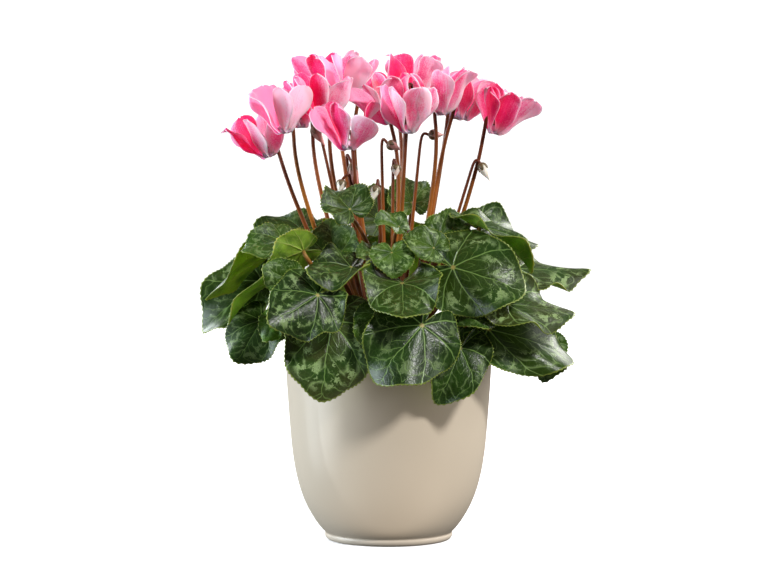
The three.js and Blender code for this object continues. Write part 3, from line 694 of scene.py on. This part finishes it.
under, under_shader = recipe("leaf_underside")
paint = vein_paint(under)
cloud = step(under, mottle(under, paint["flat"], 3, 3), 0.4, 0.75)
olive = tinge(under, paint["tone"], (0.20, 0.34, 0.035, 1), (0.32, 0.36, 0.045, 1))
olive = coats(
    under, olive, (cloud, (0.09, 0.16, 0.02, 1)),
    (times(under, paint["lines"], 0.5), (0.42, 0.38, 0.12, 1)),
    (step(under, paint["share"], 0.95, 0.99), (0.34, 0.32, 0.06, 1))
)
dress(under, under_shader, olive, 0.5, 0.25)
proud = calc(under, "ADD", paint["lines"], times(under, paint["fine"], 0.3))
relief(under, under_shader, proud, 0.5, 0.0008)
soak(under_shader, 0.4, (0.8, 1.0, 0.2), 0.002)


def give_body(piece, thickness):
    """Thickens a thin surface by half to each side, with the last finish on its back."""
    body = piece.modifiers.new("body", "SOLIDIFY")
    body.thickness = thickness * MM
    body.offset = 0
    body.material_offset = len(piece.data.materials) - 1


for number, (leaf, axes) in enumerate(zip(LEAVES, leaf_axes), 1):
    surface = blade_mesh(number, leaf, axes)
    blade = new_piece(f"blade_{number:02d}", surface, [upper, under], "leaf", f"leaf_{number:02d}")
    give_body(blade, BLADE_THICKNESS)

# The flower stalks: straight and bare, orange brown, darkened low among the leaves by painted shade, and
# almost black red at the neck. Each climbs past its bloom and hooks over, so that the bloom hangs nose
# down.

# Each bloom: its nose, a point further up its axis, the foot of its stalk, and its petals' flare.
BLOOMS = [
    ((-81, -15, 264), (-89, -15, 290), (-12, -4), (27, 28, 36, 32, 27)),
    ((-70, -40, 281), (-72, -40, 313), (-14, -9), (27, 20, 28, 20, 27)),
    ((-59, 10, 283), (-60, 12, 317), (-12, 3), (28, 26, 32, 24, 28)),
    ((-46, -25, 289), (-45, -25, 326), (-7, -6), (27, 22, 28, 22, 27)),
    ((-42, 50, 304), (-46, 52, 333), (-9, 10), (28, 26, 32, 26, 28)),
    ((-27, 15, 302), (-22, 15, 332), (-4, 4), (28, 26, 36, 24, 28)),
    ((-27, -60, 271), (-29, -62, 305), (-5, -14), (27, 32, 20, 48, 27)),
    ((2, -20, 287), (-6, -20, 319), (0, -4), (27, 24, 22, 26, 27)),
    ((13, -68, 282), (15, -70, 314), (3, -16), (27, 27, 20, 24, 30)),
    ((16, 30, 301), (18, 31, 334), (4, 8), (27, 22, 24, 22, 27)),
    ((36, -35, 293), (33, -36, 328), (9, -9), (27, 32, 28, 26, 27)),
    ((50, 5, 289), (61, 5, 327), (13, 1), (27, 26, 32, 26, 27)),
    ((71, -25, 280), (77, -25, 313), (14, -6), (27, 30, 32, 32, 27)),
    ((46, 40, 288), (50, 42, 320), (11, 9), (27, 28, 36, 28, 27)),
    ((7, 65, 292), (2, 68, 323), (1, 15), (27, 32, 34, 28, 28)),
]
PETAL_LENGTH = 34.5
PETAL_WIDTH = 20.5
PETAL_CUP = 3
CLAW_END = 0.24
CLAW_WIDTH = 0.28
PETAL_WIDEST = 0.82
PETAL_TWIST = math.radians(32)
PETAL_BEARINGS = [73, 131, 187, 243, 300]
PETAL_PROBES = [(0.74, -1), (0.74, 1), (0.94, -1), (0.94, 1), (1, 0)]
# What leads a petal's middle line: two points round the nose, out of the axis and up it, and then two
# points of the limb that leans out by its flare, each a start out of the axis and a length.
NOSE_LEADS = [Vector((1.8, 1.6)), Vector((5.6, -2.6))]
LIMB_LEADS = [(4.2, 0.42 * PETAL_LENGTH), (2.6, PETAL_LENGTH)]
TUBE_HEIGHT = 6
NECK_DROP = 8
STRAIGHT_DROP = 45
HOOK_RADIUS = 3.4
HOOK_RISE = 1.6
HOOK_STEPS = 12
STALK_RADIUS = 1.65
STALK_TAPER = 0.5
STALK_STEPS = 26


def bloom_axes(bloom, shift):
    """A bloom's nose, its axis up to the hook, the side that its stalk is on, and the third direction."""
    nose, above, foot, _ = bloom
    axis = (Vector(above) - Vector(nose)).normalized()
    to_foot = Vector((foot[0] - nose[0], foot[1] - nose[1], 0))
    stem = (to_foot - axis * to_foot.dot(axis)).normalized()
    return Vector(nose) + shift, axis, stem, axis.cross(stem)


def petal_fill(along):
    """A petal's width beside its widest: a narrow claw, then a broad limb, and a round tip."""
    if along > PETAL_WIDEST:
        return math.sqrt(max(1 - ((along - PETAL_WIDEST) / (1 - PETAL_WIDEST)) ** 2.4, 0))
    rise = min(1, max(0, (along - CLAW_END) / (PETAL_WIDEST - CLAW_END)))
    return CLAW_WIDTH + (1 - CLAW_WIDTH) * rise * rise * (3 - 2 * rise)


def petal_point(axes, bearing, flare, along, aside, raised=0.0, twist=PETAL_TWIST, sway=0.0):
    """A point of a petal's middle surface, raised out of its face by fine relief."""
    nose, axis, stem, side = axes
    bearing, flare = math.radians(bearing), math.radians(flare)
    out = swung(stem, side, bearing)
    line = NOSE_LEADS + [
        Vector((start + length * math.sin(flare), length * math.cos(flare)))
        for start, length in LIMB_LEADS
    ]
    place = bezier(*line, along)
    heading = (bezier(*line, along + 0.001) - bezier(*line, along - 0.001)).normalized()
    fill = petal_fill(along)
    width = aside * fill * PETAL_WIDTH / 2
    cup = PETAL_CUP * aside * aside * fill**2
    face = out * heading.y - axis * heading.x
    sideways = width * math.cos(twist) + cup * math.sin(twist) + sway * along**2
    outwards = width * math.sin(twist) - cup * math.cos(twist) + raised
    return nose + out * place.x + axis * place.y + axis.cross(out) * sideways + face * outwards


def stalk_route(bloom, axes):
    """The middle line of a flower stalk, from the tuber over the hook to the top of the bloom's tube."""
    nose, axis, stem, _ = axes
    foot = root_point(*bloom[2])
    beside = nose + stem * (2 * HOOK_RADIUS)
    neck = beside - axis * NECK_DROP
    line = foot, foot.lerp(neck, 0.4), beside - axis * STRAIGHT_DROP, neck
    route = [bezier(*line, i / STALK_STEPS) for i in range(STALK_STEPS + 1)]
    for i in range(HOOK_STEPS + 1):
        swing = math.pi * i / HOOK_STEPS
        out = HOOK_RADIUS * (1 + math.cos(swing))
        route.append(nose + stem * out + axis * (TUBE_HEIGHT + HOOK_RISE + HOOK_RADIUS * math.sin(swing)))
    return route + [nose + axis * (TUBE_HEIGHT - 0.4)]


stalk_draw = random.Random(13)
bloom_places = []
flower_stalks = bmesh.new()
for number, bloom in enumerate(BLOOMS, 1):
    plain = bloom_axes(bloom, Vector())
    form = [plain[0]]
    for bearing, flare in zip(PETAL_BEARINGS, bloom[3]):
        form += [petal_point(plain, bearing, flare, along, aside) for along, aside in PETAL_PROBES]
    axes = bloom_axes(bloom, moved_aside(f"bloom_{number:02d}", form))
    bloom_places.append(axes)
    stalk_tint = Vector((stalk_draw.random(), stalk_draw.random(), stalk_draw.random()))
    grow_stem(flower_stalks, stalk_route(bloom, axes), STALK_RADIUS, STALK_TAPER, stalk_tint)

stalk, stalk_shader = recipe("flower_stalk_skin")
(stalk_along, _, _), (stalk_tone, stalk_dark, _) = grown_marks(stalk)
stalk_cloud = step(stalk, mottle(stalk, object_place(stalk), 120, 3), 0.4, 0.8)
stalk_cloud = times(stalk, stalk_cloud, 0.35)
# Painted shade: the low part of each stalk, down among the leaves, goes over to a near black brown.
stalk_painted_shade = times(stalk, fade(stalk, stalk_along, 0.20, 0.36), 0.8)
stalk_turn = step(stalk, calc(stalk, "MULTIPLY_ADD", stalk_dark, 0.18, stalk_along), 0.40, 0.80)
stalk_top = tinge(stalk, stalk_dark, (0.045, 0.009, 0.006, 1), (0.14, 0.030, 0.010, 1))
stalk_skin = tinge(stalk, stalk_tone, (0.30, 0.080, 0.018, 1), (0.38, 0.135, 0.020, 1))
# The first coat is the painted shade low on the stalks; the others are the stalks' own colour.
stalk_skin = coats(
    stalk, stalk_skin, (stalk_painted_shade, (0.085, 0.026, 0.011, 1)), (stalk_turn, stalk_top),
    (stalk_cloud, (0.10, 0.03, 0.015, 1))
)
dress(stalk, stalk_shader, stalk_skin, 0.36, 0.18)
new_piece("flower_stalks", flower_stalks, [stalk], "stem", "crown")

# The blooms: five petals and the short tube that they spring from are one soft corolla. The petals
# sweep back and up, twisted to one side, crimson towards the middle and paler to the margin.
PETAL_THICKNESS = 0.5
PETAL_COLUMNS = 14
PETAL_ROWS = 26
TUBE_SIDES = 30
# The tube's outline: radius, and height above the nose.
TUBE_FORM = [
    (2.6, 0.6), (3.3, -0.2), (4.0, 0.9), (4.2, 2.6), (3.5, 4.3), (2.2, 5.4), (0.8, TUBE_HEIGHT - 0.1)
]
TUBE_TINT = Vector((0.6, 0.5, 0.5))
# How much paler some of the blooms are than the rest.
PALE_BLOOMS = {2: 0.8, 6: 1.0, 9: 0.2, 12: 0.5, 14: 0.5}
petal_draw = random.Random(90)


def bloom_mesh(number, bloom, axes):
    """A bloom's thin surface: its five petals and the open tube."""
    bm = bmesh.new()
    for bearing, flare in zip(PETAL_BEARINGS, bloom[3]):
        ripple = petal_draw.uniform(1.4, 3.2)
        start = petal_draw.uniform(0, 6.3)
        curl = petal_draw.uniform(-3.0, 4.0)
        roll = petal_draw.uniform(0.0, 4.5)
        twist = PETAL_TWIST + math.radians(petal_draw.uniform(-16, 14))
        slim = petal_draw.uniform(0.77, 0.95)
        sway = petal_draw.uniform(-4, 4)
        uneven = petal_draw.uniform(0.02, 0.07)
        pale = min(1, PALE_BLOOMS.get(number, 0) + petal_draw.uniform(0, 0.3))
        tint = Vector((pale, petal_draw.random(), petal_draw.random()))

        def place(x, y):
            along = 1 - (1 - y) ** 1.5
            aside = 2 * x - 1
            wave = ripple * aside**2 * math.sin(9 * along + start + 2 * aside) * min(1, 2 * along * along)
            crease = -0.8 * hill(aside, 0.22) * (1 - along) * min(1, 4 * along)
            tip = curl * max(0, along - 0.6) ** 2 / 0.16
            hem = roll * aside**4 * along**2
            frill = 0.35 * aside**4 * math.sin(23 * along + 5 * start) * along
            raised = wave + crease + tip + hem + frill
            trimmed = aside * slim * (1 + uneven * math.sin(11 * along + start + 1.7 * aside))
            along -= 0.14 * uneven * (1 + math.sin(8 * aside + 3 * start)) * along**4
            point = petal_point(axes, bearing, flare, along, trimmed, raised, twist, sway)
            return point, Vector((along, aside, 0)), tint

        bent_grid(bm, PETAL_COLUMNS, PETAL_ROWS, place)
    nose, axis, stem, side = axes

    def tube_place(x, y):
        radius, height = TUBE_FORM[round(y * (len(TUBE_FORM) - 1))]
        swing = 2 * math.pi * x
        out = swung(stem, side, swing) * (radius * (1 + 0.05 * math.cos(5 * swing)))
        return nose + axis * height + out, Vector((0.02 + 0.05 * y, 0, 1)), TUBE_TINT

    bent_grid(bm, TUBE_SIDES, len(TUBE_FORM) - 1, tube_place)
    return bm


def petal_finish(name, deep, middle, edge, base):
    """A petal's colour: base at the claw, then deep down the middle, going over to edge at the margin."""
    material, shader = recipe(name)
    (along, aside, _), (pale, tone, seed) = grown_marks(material)
    beside = calc(material, "ABSOLUTE", aside)
    streak_place = [times(material, along, 1.3), times(material, aside, 20.0), times(material, seed, 40.0)]
    streak = mottle(material, joined(material, *streak_place), 2.2, 4)
    cloud = mottle(material, object_place(material), 160, 5)
    speckle = mottle(material, object_place(material), 1300, 2)
    lean = times(material, aside, calc(material, "SUBTRACT", seed, 0.5))
    depth = calc(material, "MULTIPLY_ADD", tone, 0.8, 0.2)
    for pattern, weight in ((streak, 1.1), (cloud, 0.5), (speckle, 0.7)):
        depth = calc(material, "SUBTRACT", depth, weight / 2)
        depth = calc(material, "MULTIPLY_ADD", pattern, weight, depth)
    depth = calc(material, "MULTIPLY_ADD", lean, 0.9, depth)
    rim = calc(material, "POWER", beside, 3.0)
    end = calc(material, "POWER", along, 5.0)
    for pattern, weight in ((rim, 0.55), (end, 0.25), (pale, 0.55)):
        depth = calc(material, "SUBTRACT", depth, times(material, pattern, weight))
    claw = times(material, fade(material, along, 0.16, 0.55), 0.85)
    lilac = times(material, fade(material, along, 0.0, 0.22), 0.6)
    hem = times(material, step(material, beside, 0.93, 1.0), step(material, streak, 0.3, 0.7))
    colour = coats(
        material, edge, (step(material, depth, 0.0, 0.5), middle), (step(material, depth, 0.4, 0.9), deep),
        (claw, base), (lilac, (0.82, 0.28, 0.62, 1)), (times(material, hem, 0.5), (0.95, 0.80, 0.85, 1))
    )
    dress(material, shader, colour, calc(material, "MULTIPLY_ADD", cloud, 0.15, 0.42), 0.25)
    relief(material, shader, calc(material, "MULTIPLY_ADD", speckle, 0.6, streak), 0.35, 0.0005)
    soak(shader, 0.85, (1.0, 0.5, 0.6), 0.003)
    return material


outer_petal = petal_finish(
    "petal_outside", deep=(0.84, 0.010, 0.15, 1), middle=(0.95, 0.14, 0.31, 1), edge=(1.0, 0.56, 0.66, 1),
    base=(1.0, 0.72, 0.77, 1)
)
inner_petal = petal_finish(
    "petal_inside", deep=(0.76, 0.003, 0.08, 1), middle=(0.90, 0.025, 0.17, 1), edge=(0.96, 0.27, 0.42, 1),
    base=(0.86, 0.10, 0.32, 1)
)
petal_sides = [outer_petal, inner_petal]
for number, (bloom, axes) in enumerate(zip(BLOOMS, bloom_places), 1):
    surface = bloom_mesh(number, bloom, axes)
    corolla = new_piece(f"corolla_{number:02d}", surface, petal_sides, "petal", f"bloom_{number:02d}")
    give_body(corolla, PETAL_THICKNESS)

# The calyces: five short pointed sepals that clasp each bloom's tube where the stalk's hook meets it.
# They are leafy, brownish green, and stay on the stalk when the bloom falls.
SEPALS = 5
SEPAL_LENGTH = 3.4
SEPAL_THICKNESS = 0.4


def sepals(bm, top, down, stem, girth, length):
    """Pointed sepals that lie down along a body from its top, with girth(drop) its radius there."""
    side = down.cross(stem)
    for index in range(SEPALS):
        out = swung(stem, side, 2 * math.pi * (index + 0.5) / SEPALS)
        around = down.cross(out)

        def place(x, y):
            drop = length * y
            radius = girth(drop) + 0.2 + 0.12 * y**3
            swing = 0.62 * (1 - y**1.6) ** 0.7 * (2 * x - 1)
            point = top + down * drop + swung(out, around, swing) * radius
            return point, Vector((y, x, 0)), Vector()

        bent_grid(bm, 6, 7, place)


def tube_girth(drop):
    """The radius of a bloom's closed end, drop below its top."""
    return 0.9 + 2.1 * min(1, drop / 2.6) ** 0.6


calyces = bmesh.new()
for nose, axis, stem, _ in bloom_places:
    sepals(calyces, nose + axis * (TUBE_HEIGHT + 0.3), -axis, stem, tube_girth, SEPAL_LENGTH)

sepal, sepal_shader = recipe("sepal_skin")
sepal_cloud = mottle(sepal, object_place(sepal), 220, 3)
sepal_skin = tinge(sepal, sepal_cloud, (0.050, 0.028, 0.014, 1), (0.16, 0.115, 0.045, 1))
dress(sepal, sepal_shader, sepal_skin, 0.5)
give_body(new_piece("bloom_calyces", calyces, [sepal], "stem", "crown"), SEPAL_THICKNESS)

# The buds: still rolled up, each petal wound round the next into a pointed cone, in a calyx that hangs
# from a hooked stalk. The youngest are cream, and the older ones flush a dusty pink.

# Each bud: the bend of its stalk, its neck and tip, the foot of its stalk, and how pink it is.
BUDS = [
    ((-49, -8, 290), (-52, -9, 284), (-44, -11, 272), (-10, -1), 0.9),
    ((-29, -45, 268), (-25, -47, 261), (-21, -50, 241), (-6, -11), 1.0),
    ((-26, -50, 254), (-31, -51, 250), (-33, -53, 242), (-3, -12), 0.1),
    ((-7, -44, 250), (-8, -48, 246), (-11, -50, 236), (-2, -10), 0.0),
    ((-5, -35, 277), (-1, -37, 274), (7, -39, 270), (-1, -7), 0.85),
    ((3, -25, 263), (5, -26, 259), (5, -28, 252), (2, -6), 0.25),
    ((22, -20, 279), (27, -21, 279), (36, -23, 279), (6, -4), 0.8),
    ((58, -25, 262), (62, -26, 260), (68, -28, 249), (13, -8), 0.05),
]
BUD_RADIUS = 3.248
BUD_SIDES = 30
BUD_RINGS = 22
BUD_TURNS = 0.42
BUD_POINT = 2
BUD_STALK_RADIUS = 1.3
BUD_STALK_TAPER = 0.35

bud_stalks = bmesh.new()
bud_cones = bmesh.new()
bud_calyces = bmesh.new()
for bend, neck, tip, foot, flush in BUDS:
    bend, neck, tip, foot = Vector(bend), Vector(neck), Vector(tip), root_point(*foot)
    rise = bend - foot
    hang = (tip - neck).normalized()
    tip = tip + hang * BUD_POINT
    route = [bezier(foot, foot + rise * 0.4, bend - rise * 0.25, bend, i / 24) for i in range(21)]
    last = route[-1]
    over = bend + Vector((0, 0, 2.4))
    route += [bezier(last, bend, over, neck, i / 12) for i in range(1, 13)] + [neck + hang * 1.5]
    stalk_tint = Vector((stalk_draw.random(), 0.6, 0))
    grow_stem(bud_stalks, route, BUD_STALK_RADIUS, BUD_STALK_TAPER, stalk_tint)
    stem = hang.orthogonal().normalized()
    side = hang.cross(stem)
    length = (tip - neck).length

    def bud_girth(drop):
        return BUD_RADIUS * math.sin(math.pi * min(0.995, drop / length + 0.004) ** 0.54) ** 1.2

    def cone_place(x, y):
        ridge = 0.93 + 0.12 * abs(math.sin(5 * math.pi * x))
        out = swung(stem, side, 2 * math.pi * (x + BUD_TURNS * y))
        point = neck + hang * (length * y) + out * (bud_girth(length * y) * ridge)
        return point, Vector((y, x, 0)), Vector((flush, 0, 0))

    bent_grid(bud_cones, BUD_SIDES, BUD_RINGS, cone_place)
    sepals(bud_calyces, neck, hang, stem, bud_girth, min(5.6, 0.5 * length))
bmesh.ops.recalc_face_normals(bud_cones, faces=bud_cones.faces)

bud, bud_shader = recipe("rolled_bud")
(bud_along, _, _), (bud_flush, _, _) = grown_marks(bud)
bud_cream = tinge(bud, step(bud, bud_along, 0.0, 0.5), (0.46, 0.42, 0.27, 1), (0.86, 0.80, 0.72, 1))
bud_pink = tinge(bud, step(bud, bud_along, 0.1, 0.7), (0.22, 0.10, 0.07, 1), (0.55, 0.20, 0.18, 1))
dress(bud, bud_shader, tinge(bud, bud_flush, bud_cream, bud_pink), 0.45)
soak(bud_shader, 0.2, (1.0, 0.6, 0.4), 0.001)
new_piece("bud_stalks", bud_stalks, [stalk], "stem", "crown")
new_piece("bud_cones", bud_cones, [bud], "petal", "crown")
give_body(new_piece("bud_calyces", bud_calyces, [sepal], "stem", "crown"), SEPAL_THICKNESS)

# The floor: a plain pale sheet that sweeps up into a low wall far off all round. It takes light but
# throws none back, so the shade under the leaves stays deep.
SWEEP_FLAT = 3.4
SWEEP_CURVE = 1.2
SWEEP_WALL = 1.6
sweep_profile = [(0, 0), (SWEEP_FLAT, 0)]
for part in range(1, 11):
    rise = math.pi / 2 * part / 10
    sweep_profile.append((SWEEP_FLAT + SWEEP_CURVE * math.sin(rise), SWEEP_CURVE * (1 - math.cos(rise))))
sweep_profile.append((SWEEP_FLAT + SWEEP_CURVE, SWEEP_WALL))
sweep = turned([(radius / MM, height / MM) for radius, height in sweep_profile], 96)
bmesh.ops.reverse_faces(sweep, faces=sweep.faces)

paper, paper_shader = recipe("pale_paper")
dress(paper, paper_shader, (0.90, 0.90, 0.90, 1), 0.9)
paper_shader.inputs["Emission Color"].default_value = (1, 1, 1, 1)
paper_shader.inputs["Emission Strength"].default_value = 0.24
floor = shown("pale_sweep", sweep, [paper])
floor.visible_diffuse = False
floor.visible_glossy = False

# The lights: a soft lamp high on the right, as even as daylight, soft boxes on both sides, two behind
# that shine through the petals, a low one for what the pale table throws back, and a dim room.


def lit(name, lamp, place, aim, colour):
    """Puts a lamp at a place, turned to a point of the plant."""
    lamp.color = colour
    holder = bpy.data.objects.new(name, lamp)
    holder.location = place
    holder.rotation_euler = (Vector(aim) - Vector(place)).to_track_quat("-Z", "Y").to_euler()
    holder.visible_camera = False
    bpy.context.scene.collection.objects.link(holder)


def soft_box(name, place, aim, size, power, colour):
    """A square soft box."""
    lamp = bpy.data.lights.new(name, "AREA")
    lamp.shape = "SQUARE"
    lamp.size = size
    lamp.energy = power
    lit(name, lamp, place, aim, colour)


daylight = bpy.data.lights.new("daylight", "SUN")
daylight.energy = 3.6
daylight.angle = math.radians(9)
lit("daylight", daylight, (0.62, -0.82, 0.86), (0, 0, 0), (1.0, 0.99, 0.97))
soft_box("left_box", (-1.6, -0.16, 0.2), (0, 0, 0.12), 1.3, 66, (0.82, 0.92, 1.0))
soft_box("right_box", (1.5, -0.1, 0.5), (0, 0, 0.15), 1.0, 12, (1.0, 0.97, 0.93))
soft_box("back_left_box", (-1.2, 1.2, 0.8), (0, 0, 0.28), 0.8, 28, (0.9, 0.95, 1.0))
soft_box("back_right_box", (1.2, 1.2, 0.8), (0, 0, 0.28), 0.9, 28, (1.0, 0.98, 0.95))
soft_box("table_glow", (0, -0.14, 0.004), (0, -0.14, 0.5), 0.18, 0.075, (1.0, 0.91, 0.80))
sky = bpy.data.worlds.new("pale_room")
sky.use_nodes = True
sky.node_tree.nodes["Background"].inputs["Color"].default_value = (1.0, 0.97, 0.94, 1)
sky.node_tree.nodes["Background"].inputs["Strength"].default_value = 0.14
bpy.context.scene.world = sky
bpy.context.scene.view_settings.view_transform = "Standard"

# The camera stands 2.4 metres in front of the plant, a little above the blooms, and looks down by a few
# degrees, as the photograph does.
camera_data = bpy.data.cameras.new("camera")
camera_data.sensor_width = 36
camera_data.lens = 163.54
camera = bpy.data.objects.new("camera", camera_data)
camera.location = (-0.0018, -2.4, 0.363)
camera.rotation_euler = (math.radians(90 - 4.55), 0, 0)
bpy.context.scene.collection.objects.link(camera)
bpy.context.scene.camera = camera
